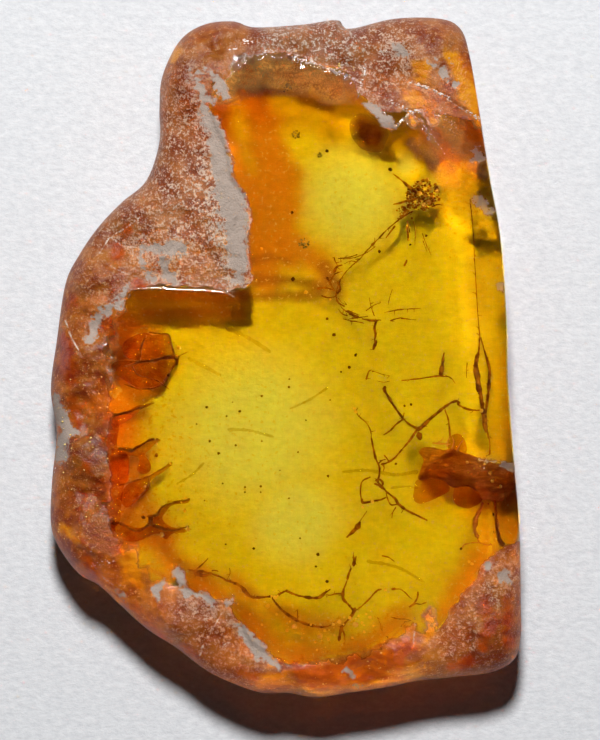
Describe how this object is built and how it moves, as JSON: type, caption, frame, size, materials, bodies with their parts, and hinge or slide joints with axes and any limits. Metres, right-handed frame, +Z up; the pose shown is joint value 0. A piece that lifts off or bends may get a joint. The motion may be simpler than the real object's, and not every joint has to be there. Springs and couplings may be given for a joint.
{
  "type": "amber piece with sealed spider web",
  "caption": "Flat slab of raw amber with weathered crust round its edge, polished clear on both faces, with spider web threads, debris and a bark flake sealed inside.",
  "frame": {"origin": "middle of the stone's outline, on its flat underside", "axes": "+Y along the stone's long side towards its narrow end, +X towards its straight cut side, +Z up out of the polished face with the ledge"},
  "size_m": [0.032, 0.0462, 0.0076],
  "materials": {
    "amber": "polished",
    "web": "matte",
    "bark": "satin",
    "debris": "matte"
  },
  "bodies": {
    "root": {"amber_front": "amber", "amber_back": "amber", "web_right": "web", "web_lower": "web", "web_upper": "web", "side_thread": "web", "bark_flake": "bark", "debris_clump": "debris"}
  },
  "joints": []
}
